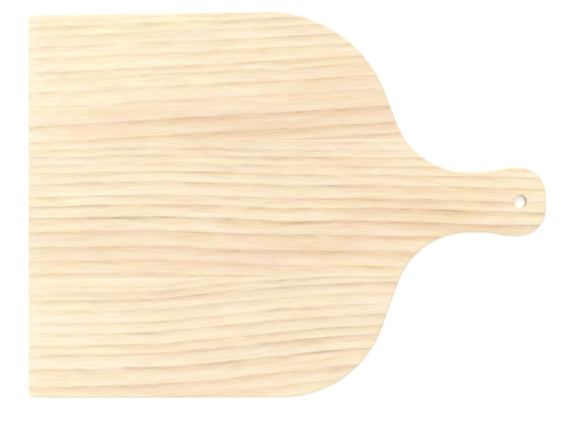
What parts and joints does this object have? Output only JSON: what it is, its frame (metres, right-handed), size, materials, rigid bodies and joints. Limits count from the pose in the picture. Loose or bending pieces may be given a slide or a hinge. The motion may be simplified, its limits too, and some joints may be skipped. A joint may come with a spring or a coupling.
{
  "type": "pizza peel",
  "caption": "Flat wooden pizza peel: a broad glued-up pine blade with a bevelled front edge, rounded shoulders and a short handle with a hanging hole.",
  "frame": {"origin": "centre of the board's box, on the underside that it lies on", "axes": "+X from the front edge to the handle end, +Y across the blade, to the right of someone holding the handle, +Z out of the working face"},
  "size_m": [0.4032, 0.3, 0.01],
  "materials": {
    "pine": "sanded, unvarnished",
    "wood_glue": "cured, sanded flush"
  },
  "bodies": {
    "root": {"handle_stave": "pine", "side_stave_right": "pine", "side_stave_left": "pine", "glue_line_right": "wood_glue", "glue_line_left": "wood_glue"}
  },
  "joints": []
}
